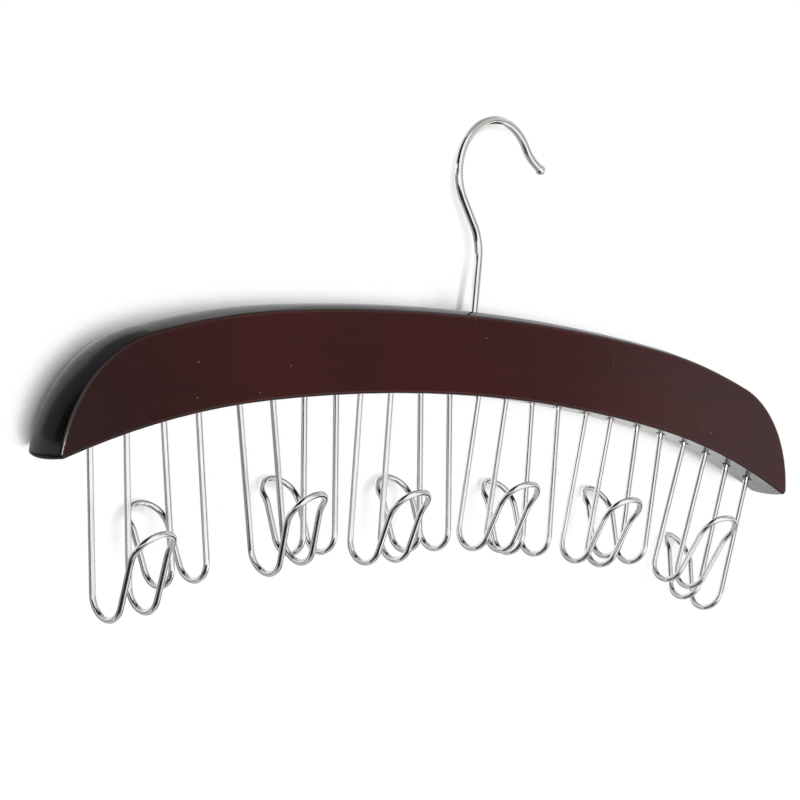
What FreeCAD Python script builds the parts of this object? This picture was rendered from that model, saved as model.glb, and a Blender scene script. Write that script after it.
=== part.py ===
import FreeCAD, Part
import math
import os
from FreeCAD import Rotation, Vector

# Wooden bar, an arched board with its long sides parallel to the XZ plane
BAR_LENGTH = 402.5
BAR_HEIGHT = 32.0
BAR_THICKNESS = 18.0
TOP_RADIUS = 980.0
TOP_BREAK = 105.0
SHOULDER_RADIUS = 330.0
END_RADIUS = 50.0
UNDERSIDE_RADIUS = 790.0
UNDERSIDE_END_RADIUS = 360.0
UNDERSIDE_BREAK = 110.0
CROWN_RISE = 2.0
CROWN_BAND = 12.0
TIP_RADIUS = 1.6
ARRIS_RADIUS = 1.2

# Hanging hook, a round wire with a straight stem, a crook, a round arc and a flared lip
HOOK_WIRE = 3.2
HOOK_RADIUS = 20.0
HOOK_OFFSET = 4.9
HOOK_RISE = 54.0
CROOK_ANGLE = 37.0
CROOK_RADIUS = 22.0
LIP_START_ANGLE = 36.0
LIP_END_ANGLE = 60.0
LIP_RADIUS = 20.0
LIP_LENGTH = 4.2
BALL_DIAMETER = 4.0

# Swivel seat on the underside of the bar
SWIVEL_CLEARANCE = 0.08
RECESS_DIAMETER = 9.6
RECESS_DEPTH = 7.0
WASHER_DIAMETER = 8.6
WASHER_THICKNESS = 0.8
NUT_ACROSS_FLATS = 6.0
NUT_THICKNESS = 2.8
NUT_CHAMFER = 0.4
NUT_PLAY = 0.05
THREAD_CLEARANCE = 0.02
SHANK_BELOW_NUT = 0.8

# Tie hooks, each one wire bent into two parallel legs, two round bends and a closing loop
TIE_WIRE = 2.3
END_MARGIN = 19.5
LEG_DROP = 59.5
LEG_IN_BAR = 14.0
BEND_RADIUS = 7.6
SLANT_ANGLE = 19.0
SLANT_LENGTH = 13.6
FLARE_RADIUS = 12.0
FLARE_ANGLE = 40.0
RAKE_ANGLE = 2.9
FAN_DISTANCE = 1000.0
LEG_CLEARANCE = 0.05
HOLE_END_GAP = 0.5
MOUTH_ALLOWANCE = 20.0

# How each tie hook departs from the regular fan, left to right:
# extra lean (degrees), extra drop (mm), shift along the bar (mm) and extra rise of the loop (mm)
FRONT_DEPARTURES = (
    (0.0, 2.0, 0.5, 3.5), (-9.0, 1.5, 2.5, 2.0), (-1.5, 2.5, -1.5, 0.5),
    (1.0, -1.5, -1.0, 0.0), (0.5, -0.5, 0.0, 0.5), (2.5, -2.0, 1.5, 3.0),
)
BACK_DEPARTURES = (
    (0.0, 0.5, 0.0, -0.5), (1.0, -1.5, 2.0, -1.5), (-2.5, 0.0, -1.5, -1.0),
    (-1.0, -0.5, -1.5, 0.0), (1.5, -5.0, 1.5, 1.0), (6.5, 0.0, 0.5, 1.0),
)

# Even spacing of the holes along the bar
TIE_HOOK_COUNT = len(FRONT_DEPARTURES) + len(BACK_DEPARTURES)
HOLE_PITCH = (BAR_LENGTH - 2 * END_MARGIN) / (2 * TIE_HOOK_COUNT - 1)

# Levels, with the origin where the stem axis meets the inside of the hook's arc
HOOK_INNER_RADIUS = HOOK_RADIUS - HOOK_WIRE / 2
ARC_CENTRE_Z = -math.sqrt(HOOK_INNER_RADIUS ** 2 - HOOK_OFFSET ** 2)
BAR_TOP_Z = ARC_CENTRE_Z - HOOK_RISE
UNDERSIDE_Z = BAR_TOP_Z - BAR_HEIGHT
RECESS_ROOF_Z = UNDERSIDE_Z + RECESS_DEPTH
NUT_TOP_Z = RECESS_ROOF_Z - WASHER_THICKNESS - NUT_PLAY
SHANK_END_Z = NUT_TOP_Z - NUT_THICKNESS - SHANK_BELOW_NUT

# Match between lengths that are meant to be equal
TOLERANCE = 0.001

UP = Vector(0, 0, 1)
X_AXIS = Vector(1, 0, 0)
Y_AXIS = Vector(0, 1, 0)


def turned(angle):
    """Unit vector in the XZ plane, at this angle in degrees from +Z towards +X."""
    return Vector(math.sin(math.radians(angle)), 0, math.cos(math.radians(angle)))


def arc_edge(centre, radius, start, end):
    """Arc in the XZ plane between two directions given as angles from +Z towards +X."""
    ends = [centre + turned(angle) * radius for angle in (start, (start + end) / 2, end)]
    return Part.Arc(*ends).toShape()


def swept_wire(edges, diameter):
    """Round wire along a smooth chain of edges."""
    path = Part.Wire(edges)
    first = edges[0]
    start = first.valueAt(first.FirstParameter)
    direction = first.tangentAt(first.FirstParameter)
    section = Part.Wire(Part.makeCircle(diameter / 2, start, direction))
    return path.makePipeShell([section], True, False)


def upright_cylinder(diameter, bottom, top):
    """Cylinder on the stem axis between two levels."""
    return Part.makeCylinder(diameter / 2, top - bottom, Vector(0, 0, bottom))


def arch(level, radius, break_x, outer_radius):
    """Centre of an arch's middle arc, that arc's right-hand end and the centre of the tighter arc beyond."""
    middle_centre = Vector(0, 0, level - radius)
    break_angle = math.degrees(math.asin(break_x / radius))
    break_point = middle_centre + turned(break_angle) * radius
    outer_centre = break_point - turned(break_angle) * outer_radius
    return middle_centre, break_point, outer_centre


def top_arch():
    """Arch of the top of the bar, out to its shoulders."""
    return arch(BAR_TOP_Z, TOP_RADIUS, TOP_BREAK, SHOULDER_RADIUS)


def underside_arch():
    """Arch of the concave underside."""
    return arch(UNDERSIDE_Z, UNDERSIDE_RADIUS, UNDERSIDE_BREAK, UNDERSIDE_END_RADIUS)


def underside_level(x):
    """Height of the concave underside at this distance from the middle."""
    middle_centre, break_point, outer_centre = underside_arch()
    if abs(x) < break_point.x:
        return middle_centre.z + math.sqrt(UNDERSIDE_RADIUS ** 2 - x ** 2)
    return outer_centre.z + math.sqrt(UNDERSIDE_END_RADIUS ** 2 - (abs(x) - outer_centre.x) ** 2)


def end_centre():
    """Centre of the arc that rounds the right-hand end of the bar and runs smoothly into the shoulder."""
    shoulder_centre = top_arch()[-1]
    reach = SHOULDER_RADIUS - END_RADIUS
    x = BAR_LENGTH / 2 - END_RADIUS
    return Vector(x, 0, shoulder_centre.z + math.sqrt(reach ** 2 - (x - shoulder_centre.x) ** 2))


def upper_edges(inset, lowest):
    """Arcs over the bar, from the lowest bearing of its right-hand end leftwards, moved in by the inset."""
    middle_centre, break_point, shoulder_centre = top_arch()
    centre = end_centre()
    break_angle = bearing(middle_centre, break_point)
    shoulder_angle = bearing(shoulder_centre, centre)
    return [
        arc_edge(centre, END_RADIUS - inset, lowest, shoulder_angle),
        arc_edge(shoulder_centre, SHOULDER_RADIUS - inset, shoulder_angle, break_angle),
        arc_edge(middle_centre, TOP_RADIUS - inset, break_angle, -break_angle),
        arc_edge(mirrored(shoulder_centre), SHOULDER_RADIUS - inset, -break_angle, -shoulder_angle),
        arc_edge(mirrored(centre), END_RADIUS - inset, -shoulder_angle, -lowest),
    ]


def tip_point(inset):
    """The lower right-hand tip, where the end arc, moved in by the inset, meets the underside."""
    under_centre = underside_arch()[-1]
    return circle_crossing(under_centre, UNDERSIDE_END_RADIUS, end_centre(), END_RADIUS - inset)


def bar_outline(inset):
    """Closed outline of the bar in the XZ plane, with its top and ends moved in by the inset."""
    middle_centre, break_point, under_centre = underside_arch()
    break_angle = bearing(middle_centre, break_point)
    tip = tip_point(inset)
    tip_angle = bearing(under_centre, tip)
    underside = [
        arc_edge(mirrored(under_centre), UNDERSIDE_END_RADIUS, -tip_angle, -break_angle),
        arc_edge(middle_centre, UNDERSIDE_RADIUS, -break_angle, break_angle),
        arc_edge(under_centre, UNDERSIDE_END_RADIUS, break_angle, tip_angle),
    ]
    return Part.Wire(upper_edges(inset, bearing(end_centre(), tip)) + underside)


def mirrored(point):
    """The matching point on the left-hand side of the bar."""
    return Vector(-point.x, point.y, point.z)


def bearing(centre, point):
    """Direction from a centre to a point of the XZ plane, in degrees from +Z towards +X."""
    return math.degrees(math.atan2(point.x - centre.x, point.z - centre.z))


def circle_crossing(centre_a, radius_a, centre_b, radius_b):
    """The crossing of two circles of the XZ plane that lies on the outer, right-hand side."""
    across = centre_b - centre_a
    distance = across.Length
    along = (radius_a ** 2 - radius_b ** 2 + distance ** 2) / (2 * distance)
    aside = math.sqrt(radius_a ** 2 - along ** 2)
    unit = across / distance
    return centre_a + unit * along + Vector(unit.z, 0, -unit.x) * aside


def prism(inset):
    """Board as thick as the bar, with the top and ends of its outline moved in by the inset."""
    face = Part.Face(bar_outline(inset))
    face.translate(Y_AXIS * (-BAR_THICKNESS / 2))
    return face.extrude(Y_AXIS * BAR_THICKNESS)


def crowned_band():
    """Band along the top and both ends whose outer side is crowned from front to back."""
    half = BAR_THICKNESS / 2
    centre = end_centre()
    lowest = bearing(centre, tip_point(0)) + math.degrees(CROWN_BAND / END_RADIUS)
    out = turned(lowest)
    apex = centre + out * END_RADIUS
    inner = apex - out * CROWN_BAND
    arris = apex - out * CROWN_RISE
    front = Y_AXIS * -half
    back = Y_AXIS * half
    section = Part.Wire([
        Part.makeLine(inner + front, arris + front),
        Part.Arc(arris + front, apex, arris + back).toShape(),
        Part.makeLine(arris + back, inner + back),
        Part.makeLine(inner + back, inner + front),
    ])
    return Part.Wire(upper_edges(0, lowest)).makePipeShell([section], True, False)


def rounded_board():
    """The board before drilling: crowned top and ends, concave underside and eased edges."""
    band = crowned_band().common(prism(-CROWN_RISE))
    board = band.fuse(prism(CROWN_BAND / 2)).removeSplitter()
    board = board.makeFillet(TIP_RADIUS, tip_edges(board))
    return board.makeFillet(ARRIS_RADIUS, outline_edges(board))


def tip_edges(board):
    """The edge at each end of the board between the crowned end and the underside."""
    tip = tip_point(0)
    tips = Part.makeCompound([Part.Vertex(tip), Part.Vertex(mirrored(tip))])
    return [edge for edge in board.Edges if edge.distToShape(tips)[0] < TOLERANCE]


def outline_edges(board):
    """Edges lying in the front or the back face of the board."""
    half = BAR_THICKNESS / 2
    return [
        edge for edge in board.Edges
        if edge.BoundBox.YLength < TOLERANCE and abs(abs(edge.BoundBox.Center.y) - half) < TOLERANCE
    ]


def swivel_bore():
    """Through bore for the hook's shank and the recess for the washer and nut."""
    below = UNDERSIDE_Z - RECESS_DEPTH
    bore = upright_cylinder(HOOK_WIRE + 2 * SWIVEL_CLEARANCE, below, BAR_TOP_Z + RECESS_DEPTH)
    recess = upright_cylinder(RECESS_DIAMETER, below, RECESS_ROOF_Z)
    return bore.fuse(recess)


def leg_holes(placement, depth):
    """The two blind holes that take the legs of one tie hook."""
    radius = TIE_WIRE / 2 + LEG_CLEARANCE
    length = MOUTH_ALLOWANCE + depth + HOLE_END_GAP
    holes = []
    for side in (-1, 1):
        start = Vector(side * HOLE_PITCH / 2, 0, -MOUTH_ALLOWANCE)
        hole = Part.makeCylinder(radius, length, start)
        hole.Placement = placement.multiply(hole.Placement)
        holes.append(hole)
    return holes


def hanging_hook():
    """Stem, crook, arc, flared lip and ball tip of the swivelling hook."""
    arc_centre = Vector(HOOK_OFFSET, 0, ARC_CENTRE_Z)
    crook_end = arc_centre + turned(-90 - CROOK_ANGLE) * HOOK_RADIUS
    slope = turned(-CROOK_ANGLE)
    corner = crook_end - slope * (crook_end.x / slope.x)
    setback = CROOK_RADIUS * math.tan(math.radians(CROOK_ANGLE / 2))
    bend_start = corner - UP * setback
    bend_centre = bend_start - X_AXIS * CROOK_RADIUS
    bend_end = corner + slope * setback
    lip_start = arc_centre + turned(90 - LIP_START_ANGLE) * HOOK_RADIUS
    lip_centre = arc_centre + turned(90 - LIP_START_ANGLE) * (HOOK_RADIUS + LIP_RADIUS)
    lip_arc = arc_edge(lip_centre, LIP_RADIUS, -90 - LIP_START_ANGLE, -90 - LIP_END_ANGLE)
    lip_end = lip_centre + turned(-90 - LIP_END_ANGLE) * LIP_RADIUS
    ball_centre = lip_end + turned(180 - LIP_END_ANGLE) * LIP_LENGTH
    edges = [
        Part.makeLine(Vector(0, 0, SHANK_END_Z), bend_start),
        arc_edge(bend_centre, CROOK_RADIUS, 90, 90 - CROOK_ANGLE),
        Part.makeLine(bend_end, crook_end),
        arc_edge(arc_centre, HOOK_RADIUS, -90 - CROOK_ANGLE, 90 - LIP_START_ANGLE),
        lip_arc,
        Part.makeLine(lip_end, ball_centre),
    ]
    ball = Part.makeSphere(BALL_DIAMETER / 2, ball_centre)
    return swept_wire(edges, HOOK_WIRE).fuse(ball)


def hook_washer():
    """Flat ring between the roof of the recess and the nut."""
    bottom = RECESS_ROOF_Z - WASHER_THICKNESS
    disc = upright_cylinder(WASHER_DIAMETER, bottom, RECESS_ROOF_Z)
    return disc.cut(upright_cylinder(HOOK_WIRE + 2 * SWIVEL_CLEARANCE, bottom, RECESS_ROOF_Z))


def hook_nut():
    """Hexagonal nut fixed on the end of the shank."""
    bottom = NUT_TOP_Z - NUT_THICKNESS
    corner = Vector(NUT_ACROSS_FLATS / math.sqrt(3), 0, bottom)
    corners = [Rotation(UP, 60 * side).multVec(corner) for side in range(6)]
    prism = Part.Face(Part.makePolygon(corners + corners[:1])).extrude(UP * NUT_THICKNESS)
    rim = [edge for edge in prism.Edges if edge.BoundBox.ZMax < bottom + NUT_CHAMFER]
    prism = prism.makeChamfer(NUT_CHAMFER, rim)
    return prism.cut(upright_cylinder(HOOK_WIRE + 2 * THREAD_CLEARANCE, bottom, NUT_TOP_Z))


def side_profile(extra_rise):
    """Edges of one leg seen from the side, from its upper end to the start of the closing loop."""
    level = -LEG_DROP + BEND_RADIUS
    bend_centre = Vector(BEND_RADIUS, 0, level)
    leg_top = Vector(0, 0, LEG_IN_BAR)
    leg_end = Vector(0, 0, level)
    bend = arc_edge(bend_centre, BEND_RADIUS, -90, -270 + SLANT_ANGLE)
    rise_start = bend_centre + turned(90 + SLANT_ANGLE) * BEND_RADIUS
    rise_end = rise_start + turned(SLANT_ANGLE) * (SLANT_LENGTH + extra_rise)
    flare_centre = rise_end + turned(90 + SLANT_ANGLE) * FLARE_RADIUS
    flare = arc_edge(flare_centre, FLARE_RADIUS, SLANT_ANGLE - 90, FLARE_ANGLE - 90)
    flare_end = flare_centre + turned(FLARE_ANGLE - 90) * FLARE_RADIUS
    edges = [Part.makeLine(leg_top, leg_end), bend, Part.makeLine(rise_start, rise_end), flare]
    return edges, flare_end


def tie_hook(extra_rise):
    """One tie hook standing upright, its legs along Z and its bends towards -Y."""
    half_pitch = HOLE_PITCH / 2
    left, flare_end = side_profile(extra_rise)
    for edge in left:
        edge.rotate(Vector(), UP, -90)
        edge.translate(X_AXIS * -half_pitch)
    right = [edge.mirror(Vector(), X_AXIS) for edge in reversed(left)]
    loop_left = Vector(-half_pitch, -flare_end.x, flare_end.z)
    loop_right = Vector(half_pitch, -flare_end.x, flare_end.z)
    outward = Vector(0, -math.sin(math.radians(FLARE_ANGLE)), math.cos(math.radians(FLARE_ANGLE)))
    loop_top = Vector(0, loop_left.y, loop_left.z) + outward * half_pitch
    loop = Part.Arc(loop_left, loop_top, loop_right).toShape()
    return swept_wire(left + [loop] + right, TIE_WIRE)


def tie_hook_placement(slot, extra_lean, shift, turn):
    """Where a tie hook stands: its slot along the bar, its lean in the fan, its rake and its facing."""
    x = (slot - (TIE_HOOK_COUNT - 1) / 2) * 2 * HOLE_PITCH + shift
    lean = math.degrees(math.atan(x / FAN_DISTANCE)) + extra_lean
    rotation = Rotation(Y_AXIS, lean) * Rotation(UP, turn) * Rotation(X_AXIS, RAKE_ANGLE)
    return FreeCAD.Placement(Vector(x, 0, underside_level(x)), rotation)


def placed_tie_hooks():
    """Every tie hook in place, by name, and the holes that take their legs."""
    hooks = {}
    holes = []
    for number, departures in enumerate(zip(FRONT_DEPARTURES, BACK_DEPARTURES)):
        for side, facing in enumerate(("front", "back")):
            extra_lean, extra_drop, shift, extra_rise = departures[side]
            placement = tie_hook_placement(2 * number + side, extra_lean, shift, 180 * side)
            hook = tie_hook(extra_rise)
            hook.translate(UP * -extra_drop)
            hook.Placement = placement.multiply(hook.Placement)
            hooks[f"{facing}_tie_hook_{number + 1}"] = hook
            holes += leg_holes(placement, LEG_IN_BAR - extra_drop)
    return hooks, holes


def wooden_bar(holes):
    """The drilled wooden bar."""
    return rounded_board().cut([swivel_bore()] + holes)


def main():
    """Write one file for each piece."""
    nodes, holes = placed_tie_hooks()
    nodes["wooden_bar"] = wooden_bar(holes)
    nodes["hanging_hook"] = hanging_hook()
    nodes["hook_washer"] = hook_washer()
    nodes["hook_nut"] = hook_nut()
    os.makedirs("parts", exist_ok=True)
    for name, shape in nodes.items():
        shape.exportStep(f"parts/{name}.step")


main()
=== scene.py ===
import math
import random

import bpy
from mathutils import Matrix, Vector


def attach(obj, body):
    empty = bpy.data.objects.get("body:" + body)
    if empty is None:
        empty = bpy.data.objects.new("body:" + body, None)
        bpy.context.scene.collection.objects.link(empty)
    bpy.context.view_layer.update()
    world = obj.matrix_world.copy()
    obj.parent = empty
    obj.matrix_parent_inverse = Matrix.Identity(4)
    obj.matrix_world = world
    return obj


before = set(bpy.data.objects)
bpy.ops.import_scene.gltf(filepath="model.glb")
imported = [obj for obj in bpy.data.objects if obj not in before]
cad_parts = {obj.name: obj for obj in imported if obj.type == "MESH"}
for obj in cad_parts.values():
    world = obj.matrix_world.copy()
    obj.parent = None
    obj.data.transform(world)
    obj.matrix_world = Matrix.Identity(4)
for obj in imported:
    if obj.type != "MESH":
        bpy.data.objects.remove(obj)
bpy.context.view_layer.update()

# Camera, as the photograph sees the hanger
CAMERA_EYE = (-0.7216, -0.6725, -0.0990)
CAMERA_AZIMUTH = 45.56
CAMERA_ELEVATION = -0.51
CAMERA_ROLL = 5.02
CAMERA_LENS = 116.0
CAMERA_SENSOR = 36.0
CAMERA_NEAR = 0.01

# White paper that turns with the bar close behind it, falls back below it and shows the shade of what is near
PAPER_Y = 0.0115
PAPER_BACK_Y = 0.0276
PAPER_FOLD = (0.004, -0.012)
PAPER_STEPS = 40
PAPER_SIZE = 3.0
PAPER_TOP = -0.048
SHADE_REACH = 0.022
SHADE_STOPS = ((0.20, 0.12), (0.31, 0.28), (0.40, 0.43), (0.48, 0.57), (0.55, 0.84), (0.62, 1.0))
SHADE_SAMPLES = 24
SHADE_LEAN = (0.45, -0.87, -0.15)

# Faint shadow of the hook on the paper: shift to the right and up, with a shear to the right, and depth
# at the origin and for each metre up; it deepens below a height and fades out to the right
SHADOW_LIFT = 0.0001
SHADOW_SPREAD = 0.0008
SHADOW_SHIFT = (0.0116, 0.0)
SHADOW_SHEAR = 0.109
SHADOW_DEPTH = (0.22, 2.2)
SHADOW_FOOT_Z = -0.0592
SHADOW_FOOT_GAIN = 2000.0
SHADOW_FADE = 0.014

# Soft shadows of the back tie hooks on the paper, deepest where a wire touches it
LOOP_SHADOW_SPREAD = 0.0018
LOOP_SHADOW_SHIFT = (0.0006, -0.0012)
LOOP_SHADOW_DEPTH = 0.33
LOOP_SHADOW_REACH = 0.014

# Floor below
FLOOR_Z = -0.45
FLOOR_SIZE = 6.0
FLOOR_WHITE = (0.75, 0.75, 0.75, 1.0)
FLOOR_LIFT = 0.64

# Light, with directions seen from the hanger: degrees from the front towards the right, and up
STUDIO_CENTRE = (0.0, 0.0, -0.1)
WHITE = (1.0, 1.0, 1.0, 1.0)
WORLD_LIGHT = 0.5
LAMP_DISTANCE = 1.4
KEY_DIRECTION = (-15.0, 5.0)
KEY_SIZE = 0.60
KEY_POWER = 9.0
REAR_DIRECTION = (137.0, -20.0)
REAR_SIZE = 1.0
REAR_POWER = 2.2
GLINT_DIRECTION = (-30.0, -5.0)
GLINT_SIZE = 0.5
GLINT_POWER = 34.0

# Cards that only reflections see, nearest first: sideways range, upward range and colour
CARD_DISTANCE = 1.8
CARD_GAP = 0.1
CARD_STEP = 10.0
CARDS = {
    "face_card": ((30, 52), (-7, 5), (0.02, 0.02, 0.02)),
    "face_end_card": ((52, 66), (-7, 5), (0.62, 0.60, 0.62)),
    "camera_card": ((-92, -48), (-6, 10), (0.04, 0.04, 0.04)),
    "crook_card": ((-100, -72), (-26, -6), (0.05, 0.05, 0.05)),
    "end_card": ((-112, -50), (10, 60), (0.015, 0.015, 0.015)),
    "left_card": ((-119, -92), (-4, 2.2), (0.22, 0.19, 0.25)),
    "left_low_card": ((-175, -104), (-30, -4), (0.30, 0.25, 0.32)),
    "left_high_card": ((-150, -84), (10, 50), (0.42, 0.40, 0.44)),
    "band_card": ((70, 92), (34, 48), (0.92, 0.90, 0.95)),
    "right_high_card": ((6, 80), (1.5, 50), (0.56, 0.54, 0.49)),
    "right_card": ((43, 134), (-12, -4), (0.66, 0.63, 0.58)),
    "top_edge_card": ((116, 134), (2, 28), (0.92, 0.90, 0.95)),
    "right_rear_card": ((80, 134), (-12, 65), (0.52, 0.51, 0.49)),
    "right_low_card": ((58, 115), (-42, -20), (0.04, 0.04, 0.04)),
    "low_card": ((-125, -10), (-65, -26), (0.02, 0.02, 0.02)),
    "rear_low_card": ((134, 226), (-45, -10), (0.45, 0.45, 0.44)),
    "left_top_card": ((-180, -40), (50, 90), (0.42, 0.40, 0.44)),
    "right_top_card": ((-40, 180), (50, 90), (0.34, 0.33, 0.29)),
    "floor_card": ((-180, 180), (-90, -45), (0.45, 0.45, 0.44)),
}

# Lacquered wood
WOOD_BROWN = (0.0425, 0.0085, 0.0080, 1.0)
WOOD_RED = (0.0505, 0.0085, 0.0080, 1.0)
WOOD_DARK = (0.0205, 0.0065, 0.0062, 1.0)
# Painted shade: near-black for the top, ends and underside of the bar, the sides turned away from the front
# and back
PAINTED_EDGE_SHADE = (0.0016, 0.0012, 0.0013, 1.0)
WOOD_RUB = (0.095, 0.0300, 0.0240, 1.0)
DUST = (0.30, 0.26, 0.24, 1.0)
# Facing over which the painted edge shade gives way to the stain
EDGE_FACING = (0.60, 0.92)
DARK_END = (-0.20, -0.09)
DARK_SHARE = 0.85
CLOUD_SCALE = 16.0
CLOUD_DETAIL = 3.0
CLOUD_RANGE = (0.38, 0.62)
GRAIN_RUN = (14.0, 260.0, 260.0)
GRAIN_DETAIL = 5.0
GRAIN_RANGE = (0.48, 0.78)
GRAIN_SHARE = 0.42
RUB_RUN = (150.0, 60.0, 45.0)
RUB_DETAIL = 2.0
RUB_RANGE = (0.70, 0.80)
RUB_SHARE = 0.5
DUST_SCALE = 70.0
DUST_SIZE = (0.009, 0.020)
DUST_SHARE = 0.90
PORE_SCALE = 2.0
PORE_DETAIL = 4.0
PORE_RANGE = (0.3, 0.7)
PORE_BUMP = (0.15, 0.0001)
PEEL_SCALE = 330.0
PEEL_DETAIL = 1.0
PEEL_BUMP = (0.05, 0.0002)
WOOD_ROUGHNESS = (0.45, 0.65)
WOOD_SPECULAR = 0.05
COAT_WEIGHT = 0.60
COAT_ROUGHNESS = 0.16

# Chromed wire and plated fixings
CHROME = (0.93, 0.925, 0.93, 1.0)
CHROME_WARM = (0.88, 0.865, 0.85, 1.0)
CHROME_ROUGHNESS = (0.10, 0.18)
PIT_SCALE = 1300.0
PIT_DETAIL = 2.0
PIT_BUMP = (0.03, 0.0001)
SMEAR_SCALE = 70.0
SMEAR_DETAIL = 4.0
SMEAR_TINT = (0.40, 0.70)
SMEAR_DULLING = (0.30, 0.70)
ZINC = (0.52, 0.53, 0.55, 1.0)
ZINC_DARK = (0.36, 0.37, 0.40, 1.0)
ZINC_ROUGHNESS = (0.32, 0.5)
SPANGLE_SCALE = 900.0
GRIT_DETAIL = 3.0
GRIT_BUMP = (0.12, 0.0001)

# Torn mouths of the drilled holes, with painted shade in the gap around each leg, and the sizes that place
# the holes
BAR_LENGTH = 0.4025
END_MARGIN = 0.0195
TIE_HOOK_COUNT = 12
HOLE_PITCH = (BAR_LENGTH - 2 * END_MARGIN) / (2 * TIE_HOOK_COUNT - 1)
FAN_DISTANCE = 1.0
UNDERSIDE_Z = -0.103735
UNDERSIDE_RADIUS = 0.790
UNDERSIDE_END_RADIUS = 0.360
UNDERSIDE_BREAK = 0.110
LEG_RADIUS = 0.00115
EXTRA_LEAN = (0, 0, -9, 1, -1.5, -2.5, 1, -1, 0.5, 1.5, 2.5, 6.5)
SHIFT = (0.0005, 0, 0.0025, 0.002, -0.0015, -0.0015, -0.001, -0.0015, 0, 0.0015, 0.0015, 0.0005)
MOUTH_SIDES = 28
MOUTH_GAP = (0.00020, 0.00050)
MOUTH_TEAR = 0.0014
MOUTH_TAPER = 5
MOUTH_GAP_TEAR = 0.6
MOUTH_EDGE_TEAR = (0.2, 0.7)
MOUTH_PROUD = 0.00005
MOUTH_SEED = 11
# Painted shade of the recess around each leg
HOLE_GAP_SHADE = (0.006, 0.0035, 0.0030, 1.0)
HOLE_ROUGHNESS = 0.9
HOLE_BUMP = (0.3, 0.0001)
RAW_WOOD = (0.26, 0.085, 0.040, 1.0)
RAW_DARK = (0.030, 0.010, 0.0070, 1.0)
RAW_ROUGHNESS = 0.85
RAW_BUMP = (0.4, 0.0001)
FIBRE_SCALE = 4.0
FIBRE_DETAIL = 4.0
PATCH_DETAIL = 2.0
PATCH_RANGE = (0.48, 0.60)


class Nodes:
    """Small helper that adds and joins the nodes of one material."""

    def __init__(self, name):
        self.material = bpy.data.materials.new(name)
        self.material.use_nodes = True
        self.tree = self.material.node_tree
        self.tree.nodes.clear()

    def put(self, socket, value):
        """Links a socket to an input, or sets the input to a plain value."""
        if isinstance(value, bpy.types.NodeSocket):
            self.tree.links.new(value, socket)
        else:
            socket.default_value = value

    def add(self, kind, **inputs):
        """Adds a node and fills its inputs by name."""
        node = self.tree.nodes.new(kind)
        for name, value in inputs.items():
            self.put(node.inputs[name.replace("_", " ")], value)
        return node

    def coordinates(self, kind):
        """One of the surface's own coordinates."""
        return self.add("ShaderNodeTexCoord").outputs[kind]

    def axis(self, vector, letter):
        """One axis of a vector."""
        return self.add("ShaderNodeSeparateXYZ", Vector=vector).outputs[letter]

    def stretched(self, vector, scale):
        """Coordinates scaled differently along each axis."""
        return self.add("ShaderNodeMapping", Vector=vector, Scale=scale).outputs["Vector"]

    def noise(self, vector, detail, scale=1.0):
        """Cloudy noise from 0 to 1."""
        return self.add("ShaderNodeTexNoise", Vector=vector, Scale=scale, Detail=detail).outputs["Fac"]

    def math(self, operation, first, second=0.0):
        """One step of arithmetic on one or two values."""
        node = self.tree.nodes.new("ShaderNodeMath")
        node.operation = operation
        self.put(node.inputs[0], first)
        self.put(node.inputs[1], second)
        return node.outputs["Value"]

    def ranged(self, value, low, high, start=0.0, end=1.0):
        """Value moved from the range low to high to the range start to end, eased at both ends."""
        node = self.add("ShaderNodeMapRange", Value=value, From_Min=low, From_Max=high)
        node.interpolation_type = "SMOOTHSTEP"
        self.put(node.inputs["To Min"], start)
        self.put(node.inputs["To Max"], end)
        return node.outputs["Result"]

    def mixed(self, factor, first, second):
        """Colour between two colours."""
        node = self.tree.nodes.new("ShaderNodeMix")
        node.data_type = "RGBA"
        sockets = {socket.identifier: socket for socket in node.inputs}
        self.put(sockets["Factor_Float"], factor)
        self.put(sockets["A_Color"], first)
        self.put(sockets["B_Color"], second)
        return next(socket for socket in node.outputs if socket.identifier == "Result_Color")

    def bump(self, height, strength, distance):
        """Surface normal disturbed by a height."""
        node = self.add("ShaderNodeBump", Height=height, Strength=strength, Distance=distance)
        return node.outputs["Normal"]

    def ramp(self, value, stops):
        """Grey that follows a table of values and lightness, and is white above it."""
        node = self.add("ShaderNodeValToRGB", Fac=value)
        elements = node.color_ramp.elements
        elements.remove(elements[0])
        for place, grey in stops:
            elements.new(place).color = (grey, grey, grey, 1.0)
        return node.outputs["Color"]

    def finish(self, shader):
        """Joins the shader to the output and returns the material."""
        output = self.tree.nodes.new("ShaderNodeOutputMaterial")
        self.tree.links.new(shader, output.inputs["Surface"])
        return self.material


def camera_matrix():
    """Place of the camera, from its eye, the direction it looks in and its roll."""
    azimuth = math.radians(CAMERA_AZIMUTH)
    elevation = math.radians(CAMERA_ELEVATION)
    forward = Vector((
        math.sin(azimuth) * math.cos(elevation),
        math.cos(azimuth) * math.cos(elevation),
        math.sin(elevation),
    ))
    turn = forward.to_track_quat("-Z", "Y").to_matrix().to_4x4()
    roll = Matrix.Rotation(math.radians(CAMERA_ROLL), 4, "Z")
    return Matrix.Translation(CAMERA_EYE) @ turn @ roll


def add_camera():
    """The photograph's camera."""
    data = bpy.data.cameras.new("camera")
    data.lens = CAMERA_LENS
    data.sensor_width = CAMERA_SENSOR
    data.clip_start = CAMERA_NEAR
    camera = bpy.data.objects.new("camera", data)
    camera.matrix_world = camera_matrix()
    bpy.context.scene.collection.objects.link(camera)
    bpy.context.scene.camera = camera


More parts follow.
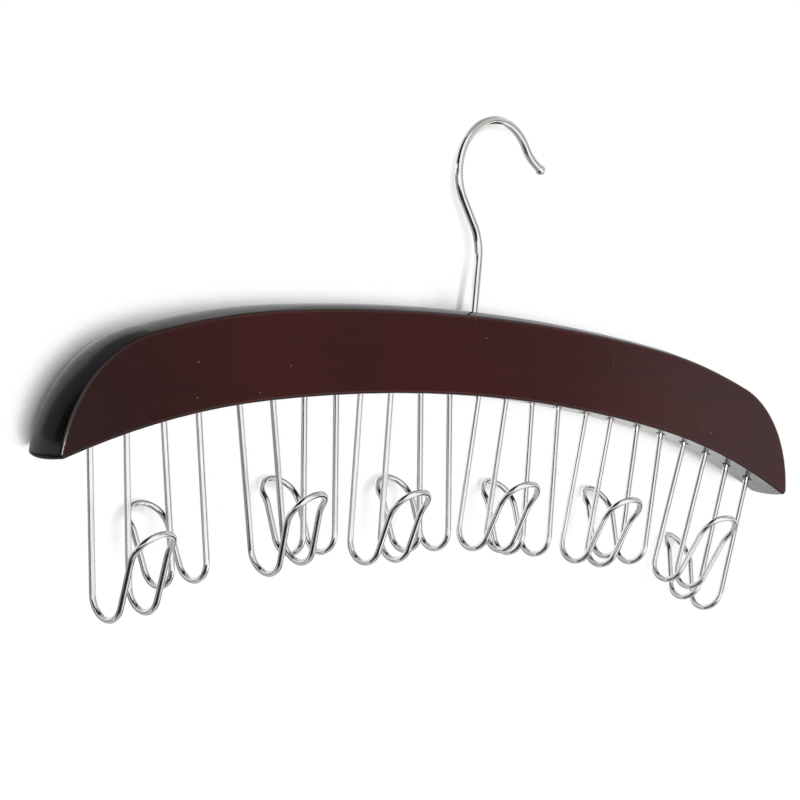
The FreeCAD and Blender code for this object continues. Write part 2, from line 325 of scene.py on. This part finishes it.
def dust_flecks(n, place):
    """Sparse pale specks on the broad faces."""
    flat = n.add("ShaderNodeCombineXYZ", X=n.axis(place, "X"), Y=n.axis(place, "Z"))
    cells = n.add("ShaderNodeTexVoronoi", Vector=flat.outputs["Vector"], Scale=DUST_SCALE)
    cells.voronoi_dimensions = "2D"
    speck = n.ranged(cells.outputs["Distance"], *DUST_SIZE, 1.0, 0.0)
    chosen = n.math("GREATER_THAN", n.axis(cells.outputs["Color"], "X"), DUST_SHARE)
    return n.math("MULTIPLY", speck, chosen)


def wood_colour(n, place):
    """Red and brown stain with dark grain, rubbed spots and dust, darker towards the left end, and painted
    shade that turns the edges near-black.
    """
    clouds = n.noise(place, CLOUD_DETAIL, CLOUD_SCALE)
    streaks = n.noise(n.stretched(place, GRAIN_RUN), GRAIN_DETAIL)
    rubs = n.noise(n.stretched(place, RUB_RUN), RUB_DETAIL)
    colour = n.mixed(n.ranged(clouds, *CLOUD_RANGE), WOOD_BROWN, WOOD_RED)
    colour = n.mixed(n.ranged(streaks, *GRAIN_RANGE, 0.0, GRAIN_SHARE), colour, WOOD_DARK)
    end = n.ranged(n.axis(place, "X"), *DARK_END, DARK_SHARE, 0.0)
    colour = n.mixed(end, colour, WOOD_DARK)
    colour = n.mixed(n.ranged(rubs, *RUB_RANGE, 0.0, RUB_SHARE), colour, WOOD_RUB)
    colour = n.mixed(dust_flecks(n, place), colour, DUST)
    # Painted shade on the sides turned away from the front and back
    facing = n.math("ABSOLUTE", n.axis(n.coordinates("Normal"), "Y"))
    return n.mixed(n.ranged(facing, *EDGE_FACING), PAINTED_EDGE_SHADE, colour)


def lacquered_wood():
    """Dark stained wood under a semi-gloss lacquer."""
    n = Nodes("lacquered_wood_look")
    place = n.coordinates("Object")
    pores = n.noise(n.stretched(place, GRAIN_RUN), PORE_DETAIL, PORE_SCALE)
    peel = n.noise(place, PEEL_DETAIL, PEEL_SCALE)
    shader = n.add(
        "ShaderNodeBsdfPrincipled",
        Base_Color=wood_colour(n, place),
        Roughness=n.ranged(pores, *PORE_RANGE, *WOOD_ROUGHNESS),
        Specular_IOR_Level=WOOD_SPECULAR,
        Normal=n.bump(pores, *PORE_BUMP),
        Coat_Weight=COAT_WEIGHT,
        Coat_Roughness=COAT_ROUGHNESS,
        Coat_Normal=n.bump(peel, *PEEL_BUMP),
    )
    return n.finish(shader.outputs["BSDF"])


def chromed_wire():
    """Polished chrome over drawn steel wire, with fine pits and faint smears."""
    n = Nodes("chrome_wire_look")
    place = n.coordinates("Object")
    pits = n.noise(place, PIT_DETAIL, PIT_SCALE)
    smears = n.noise(place, SMEAR_DETAIL, SMEAR_SCALE)
    shader = n.add(
        "ShaderNodeBsdfPrincipled",
        Base_Color=n.mixed(n.ranged(smears, *SMEAR_TINT), CHROME, CHROME_WARM),
        Metallic=1.0,
        Roughness=n.ranged(smears, *SMEAR_DULLING, *CHROME_ROUGHNESS),
        Normal=n.bump(pits, *PIT_BUMP),
    )
    return n.finish(shader.outputs["BSDF"])


def plated_steel():
    """Dull zinc plate with its small spangles."""
    n = Nodes("plated_steel_look")
    place = n.coordinates("Object")
    spangles = n.add("ShaderNodeTexVoronoi", Vector=place, Scale=SPANGLE_SCALE)
    tone = n.axis(spangles.outputs["Color"], "X")
    grit = n.noise(place, GRIT_DETAIL, PIT_SCALE)
    shader = n.add(
        "ShaderNodeBsdfPrincipled",
        Base_Color=n.mixed(tone, ZINC, ZINC_DARK),
        Metallic=1.0,
        Roughness=n.ranged(tone, 0.0, 1.0, *ZINC_ROUGHNESS),
        Normal=n.bump(grit, *GRIT_BUMP),
    )
    return n.finish(shader.outputs["BSDF"])


def hole_shadow():
    """Painted shade of the gap between a leg and its drilled hole, laid flat on the underside, with faint
    fibres.
    """
    n = Nodes("hole_shadow_look")
    fibres = n.noise(n.coordinates("Object"), GRIT_DETAIL, PIT_SCALE)
    shader = n.add(
        "ShaderNodeBsdfPrincipled",
        Base_Color=n.mixed(fibres, HOLE_GAP_SHADE, WOOD_DARK),
        Roughness=HOLE_ROUGHNESS,
        Normal=n.bump(fibres, *HOLE_BUMP),
    )
    return n.finish(shader.outputs["BSDF"])


def raw_wood():
    """Torn wood without stain, in places still dark."""
    n = Nodes("raw_wood_look")
    place = n.coordinates("Object")
    fibres = n.noise(n.stretched(place, GRAIN_RUN), FIBRE_DETAIL, FIBRE_SCALE)
    patches = n.noise(place, PATCH_DETAIL, SMEAR_SCALE)
    shader = n.add(
        "ShaderNodeBsdfPrincipled",
        Base_Color=n.mixed(n.ranged(patches, *PATCH_RANGE), RAW_DARK, RAW_WOOD),
        Roughness=RAW_ROUGHNESS,
        Normal=n.bump(fibres, *RAW_BUMP),
    )
    return n.finish(shader.outputs["BSDF"])


def underside_arc(x):
    """Centre and radius of the underside's arc at this distance from the middle."""
    middle = Vector((0, 0, UNDERSIDE_Z - UNDERSIDE_RADIUS))
    if abs(x) < UNDERSIDE_BREAK:
        return middle, UNDERSIDE_RADIUS
    angle = math.copysign(math.asin(UNDERSIDE_BREAK / UNDERSIDE_RADIUS), x)
    outward = Vector((math.sin(angle), 0, math.cos(angle)))
    return middle + outward * (UNDERSIDE_RADIUS - UNDERSIDE_END_RADIUS), UNDERSIDE_END_RADIUS


def on_underside(x, y, proud):
    """Point of the underside, moved out of the wood by a small amount."""
    centre, radius = underside_arc(x)
    level = math.sqrt(radius ** 2 - (x - centre.x) ** 2)
    inward = Vector((x - centre.x, 0, level)) / radius
    return Vector((x, y, centre.z + level)) - inward * proud


def leg_crossings():
    """Where each leg of the tie hooks comes out of the underside, along the bar."""
    crossings = []
    for number, (extra_lean, shift) in enumerate(zip(EXTRA_LEAN, SHIFT)):
        middle = (number - (TIE_HOOK_COUNT - 1) / 2) * 2 * HOLE_PITCH + shift
        lean = math.atan(middle / FAN_DISTANCE) + math.radians(extra_lean)
        for side in (-1, 1):
            x = middle + side * HOLE_PITCH / 2 * math.cos(lean)
            z = on_underside(middle, 0, 0).z - side * HOLE_PITCH / 2 * math.sin(lean)
            crossings.append(x + (on_underside(x, 0, 0).z - z) * math.tan(lean))
    return crossings


def mouth_rings(x, chance):
    """Three uneven rings of points: the leg, the edge of the gap around it and the edge of the torn wood."""
    tears = {side: MOUTH_TEAR * chance.random() for side in (-1, 1)}
    rings = [[], [], []]
    for step in range(MOUTH_SIDES):
        angle = 2 * math.pi * step / MOUTH_SIDES
        along = math.cos(angle)
        across = math.sin(angle)
        tear = tears[1 if along > 0 else -1] * abs(along) ** MOUTH_TAPER
        gap = chance.uniform(*MOUTH_GAP) + tear * MOUTH_GAP_TEAR
        ragged = gap + chance.uniform(*MOUTH_GAP) + tear * chance.uniform(*MOUTH_EDGE_TEAR)
        for ring, reach in zip(rings, (0.0, gap, ragged)):
            radius = LEG_RADIUS + reach
            ring.append(on_underside(x + along * radius, across * radius, MOUTH_PROUD))
    return rings


def add_hole_mouths():
    """Painted shade in the gaps around the legs, and torn wood, where the drill broke the lacquer."""
    chance = random.Random(MOUTH_SEED)
    points = []
    faces = []
    kinds = []
    for x in leg_crossings():
        first = len(points)
        for ring in mouth_rings(x, chance):
            points += ring
        # Kind 0 is the gap, painted in shade; kind 1 is the torn wood
        for kind in (0, 1):
            for step in range(MOUTH_SIDES):
                inner = first + kind * MOUTH_SIDES
                following = (step + 1) % MOUTH_SIDES
                outer = inner + MOUTH_SIDES
                faces.append((inner + step, inner + following, outer + following, outer + step))
                kinds.append(kind)
    mesh = bpy.data.meshes.new("hole_mouths")
    mesh.from_pydata(points, [], faces)
    mesh.materials.append(hole_shadow())
    mesh.materials.append(raw_wood())
    mesh.polygons.foreach_set("material_index", kinds)
    mouths = bpy.data.objects.new("hole_mouths", mesh)
    bpy.context.scene.collection.objects.link(mouths)
    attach(mouths, "bar")


def contact_paper():
    """White paper: clear but for the soft shade where something is close in front of it."""
    n = Nodes("contact_paper")
    lean = n.add("ShaderNodeNormal").outputs["Normal"]
    lean.default_value = SHADE_LEAN
    near = n.add("ShaderNodeAmbientOcclusion", Distance=SHADE_REACH, Normal=lean)
    near.samples = SHADE_SAMPLES
    back = n.add("ShaderNodeNewGeometry").outputs["Backfacing"]
    tint = n.ramp(n.math("MAXIMUM", near.outputs["AO"], back), SHADE_STOPS)
    return n.finish(n.add("ShaderNodeBsdfTransparent", Color=tint).outputs["BSDF"])


def shadow_tint():
    """Clear but for the depth of a shadow that each point of the surface carries, seen from its back."""
    n = Nodes("shadow_tint")
    depth = n.tree.nodes.new("ShaderNodeAttribute")
    depth.attribute_name = "depth"
    back = n.add("ShaderNodeNewGeometry").outputs["Backfacing"]
    tint = n.math("SUBTRACT", 1.0, n.math("MULTIPLY", depth.outputs["Fac"], back))
    return n.finish(n.add("ShaderNodeBsdfTransparent", Color=tint).outputs["BSDF"])


def white_floor():
    """White floor with the object's shadow, seen from above only."""
    n = Nodes("white_floor")
    lit = n.add("ShaderNodeAddShader")
    n.put(lit.inputs[0], n.add("ShaderNodeBsdfDiffuse", Color=FLOOR_WHITE).outputs["BSDF"])
    n.put(lit.inputs[1], n.add("ShaderNodeEmission", Strength=FLOOR_LIFT).outputs["Emission"])
    mix = n.add("ShaderNodeMixShader")
    n.put(mix.inputs[0], n.add("ShaderNodeNewGeometry").outputs["Backfacing"])
    n.put(mix.inputs[1], lit.outputs["Shader"])
    n.put(mix.inputs[2], n.add("ShaderNodeBsdfTransparent").outputs["BSDF"])
    return n.finish(mix.outputs["Shader"])


def card_colour(name, colour):
    """Even colour, the same under any light."""
    n = Nodes(name)
    return n.finish(n.add("ShaderNodeEmission", Color=(*colour, 1.0)).outputs["Emission"])


def add_stage_mesh(name, points, faces, material):
    """A piece of the studio."""
    mesh = bpy.data.meshes.new(name)
    mesh.from_pydata(points, [], faces)
    mesh.materials.append(material)
    piece = bpy.data.objects.new(name, mesh)
    bpy.context.scene.collection.objects.link(piece)
    piece.visible_diffuse = False
    piece.visible_transmission = False
    piece.visible_shadow = False
    return piece


def add_paper():
    """Paper close behind the bar, folded back along its underside to pass behind the tie hooks."""
    half = PAPER_SIZE / 2
    end = BAR_LENGTH / 2
    columns = []
    for x in [-half] + [end * (2 * step / PAPER_STEPS - 1) for step in range(PAPER_STEPS + 1)] + [half]:
        level = on_underside(max(-end, min(end, x)), 0, 0).z
        columns.append([
            (x, PAPER_Y, PAPER_TOP),
            (x, PAPER_Y, level + PAPER_FOLD[0]),
            (x, PAPER_BACK_Y, level + PAPER_FOLD[1]),
            (x, PAPER_BACK_Y, -half),
        ])
    rows = len(columns[0])
    faces = []
    for column in range(len(columns) - 1):
        for row in range(rows - 1):
            corner = column * rows + row
            faces.append((corner, corner + 1, corner + rows + 1, corner + rows))
    points = [point for column in columns for point in column]
    paper = add_stage_mesh("paper", points, faces, contact_paper())
    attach(paper, "bar")
    return paper


def hook_shadow_depth(place):
    """Depth of the hook's shadow: deepest at its foot, and gone at the right."""
    depth = max(0, SHADOW_DEPTH[0] + SHADOW_DEPTH[1] * place.z)
    depth += SHADOW_FOOT_GAIN * max(0, SHADOW_FOOT_Z - place.z) ** 2
    return min(1, depth) * max(0, min(1, 1 - place.x / SHADOW_FADE))


def loop_shadow_depth(place):
    """Depth of a tie hook's shadow: deepest where its wire comes close to the paper."""
    return LOOP_SHADOW_DEPTH * max(0, 1 - (PAPER_BACK_Y - place.y) / LOOP_SHADOW_REACH)


def add_shadow(node, level, spread, shift, depth, shear=0.0):
    """Shadow of a wire on the paper: its far side laid flat and shifted, darkest along its middle."""
    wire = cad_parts[node]
    points = []
    depths = []
    for vertex in wire.data.vertices:
        place = wire.matrix_world @ vertex.co
        wide = place + vertex.normal * spread
        across = shift[0] + shear * place.z
        points.append((wide.x + across, level - SHADOW_LIFT, wide.z + shift[1]))
        depths.append(depth(place) * max(0, vertex.normal.y) ** 2)
    faces = [tuple(face.vertices) for face in wire.data.polygons if face.normal.y > 0]
    shadow = add_stage_mesh(node + "_shadow", points, faces, shadow_tint())
    shadow.data.attributes.new("depth", "FLOAT", "POINT").data.foreach_set("value", depths)
    return shadow


def add_shadows():
    """Shadows of the hook and of the back tie hooks, which turn with the bar."""
    hook = add_shadow("hanging_hook", PAPER_Y, SHADOW_SPREAD, SHADOW_SHIFT, hook_shadow_depth, SHADOW_SHEAR)
    shadows = [hook]
    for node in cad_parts:
        if "back_tie_hook" in node:
            shadow = add_shadow(node, PAPER_BACK_Y, LOOP_SHADOW_SPREAD, LOOP_SHADOW_SHIFT, loop_shadow_depth)
            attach(shadow, "bar")
            shadows.append(shadow)
    return shadows


def add_floor():
    """Level floor below the hanger."""
    half = FLOOR_SIZE / 2
    corners = [(-half, -half), (half, -half), (half, half), (-half, half)]
    points = [(x, y, FLOOR_Z) for x, y in corners]
    return add_stage_mesh("floor", points, [(0, 1, 2, 3)], white_floor())


def towards(azimuth, elevation, distance):
    """Point of the studio in this direction from the hanger."""
    side = math.radians(azimuth)
    rise = math.radians(elevation)
    direction = Vector((
        math.sin(side) * math.cos(rise),
        -math.cos(side) * math.cos(rise),
        math.sin(rise),
    ))
    return Vector(STUDIO_CENTRE) + direction * distance


def add_card(name, sideways, upward, colour, distance):
    """Curved card around the hanger, seen by reflections alone."""
    columns = math.ceil((sideways[1] - sideways[0]) / CARD_STEP)
    rows = math.ceil((upward[1] - upward[0]) / CARD_STEP)
    points = []
    for row in range(rows + 1):
        elevation = upward[0] + (upward[1] - upward[0]) * row / rows
        for column in range(columns + 1):
            azimuth = sideways[0] + (sideways[1] - sideways[0]) * column / columns
            points.append(towards(azimuth, elevation, distance))
    faces = []
    for row in range(rows):
        for column in range(columns):
            corner = row * (columns + 1) + column
            above = corner + columns + 1
            faces.append((corner, corner + 1, above + 1, above))
    card = add_stage_mesh(name, points, faces, card_colour(name, colour))
    card.visible_camera = False


def add_stage():
    """Paper behind the hanger with the shadows on it, a floor below and the cards around."""
    for piece in (add_paper(), *add_shadows(), add_floor()):
        piece.visible_glossy = False
    for number, (name, (sideways, upward, colour)) in enumerate(CARDS.items()):
        add_card(name, sideways, upward, colour, CARD_DISTANCE + number * CARD_GAP)


def add_world():
    """White surroundings, softer as light than they look."""
    world = bpy.data.worlds.new("studio")
    bpy.context.scene.world = world
    world.use_nodes = True
    tree = world.node_tree
    tree.nodes.clear()
    path = tree.nodes.new("ShaderNodeLightPath")
    seen = path.outputs["Is Camera Ray"]
    for kind in ("Is Glossy Ray", "Is Transmission Ray"):
        either = tree.nodes.new("ShaderNodeMath")
        either.operation = "MAXIMUM"
        tree.links.new(seen, either.inputs[0])
        tree.links.new(path.outputs[kind], either.inputs[1])
        seen = either.outputs["Value"]
    light = tree.nodes.new("ShaderNodeBackground")
    light.inputs["Strength"].default_value = WORLD_LIGHT
    white = tree.nodes.new("ShaderNodeBackground")
    for background in (light, white):
        background.inputs["Color"].default_value = WHITE
    mix = tree.nodes.new("ShaderNodeMixShader")
    tree.links.new(seen, mix.inputs[0])
    tree.links.new(light.outputs["Background"], mix.inputs[1])
    tree.links.new(white.outputs["Background"], mix.inputs[2])
    output = tree.nodes.new("ShaderNodeOutputWorld")
    tree.links.new(mix.outputs["Shader"], output.inputs["Surface"])


def add_lamp(name, direction, size, power, lit):
    """Square soft lamp turned to the hanger, falling on some of its pieces alone."""
    data = bpy.data.lights.new(name, "AREA")
    data.size = size
    data.energy = power
    lamp = bpy.data.objects.new(name, data)
    lamp.location = towards(*direction, LAMP_DISTANCE)
    lamp.rotation_euler = (Vector(STUDIO_CENTRE) - lamp.location).to_track_quat("-Z", "Y").to_euler()
    bpy.context.scene.collection.objects.link(lamp)
    lamp.light_linking.receiver_collection = lit
    return lamp


def add_lamps():
    """Key and rear lamps for the wood, and one that only its polished edges show."""
    lit = bpy.data.collections.new("lit_wood")
    for name in ("wooden_bar", "hole_mouths"):
        lit.objects.link(bpy.data.objects[name])
    key = add_lamp("key", KEY_DIRECTION, KEY_SIZE, KEY_POWER, lit)
    key.visible_glossy = False
    add_lamp("rear", REAR_DIRECTION, REAR_SIZE, REAR_POWER, lit)
    glint = add_lamp("glint", GLINT_DIRECTION, GLINT_SIZE, GLINT_POWER, lit)
    glint.visible_diffuse = False


def dress(material, nodes):
    """Gives these nodes of the model a material."""
    for name in nodes:
        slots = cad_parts[name].data.materials
        slots.clear()
        slots.append(material)


def add_materials():
    """Materials of the nodes of the model."""
    wires = [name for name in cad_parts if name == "hanging_hook" or "tie_hook" in name]
    dress(lacquered_wood(), ["wooden_bar"])
    dress(chromed_wire(), wires)
    dress(plated_steel(), ["hook_washer", "hook_nut"])


bpy.context.scene.view_settings.view_transform = "Standard"
add_camera()
add_materials()
add_hole_mouths()
add_stage()
add_world()
add_lamps()
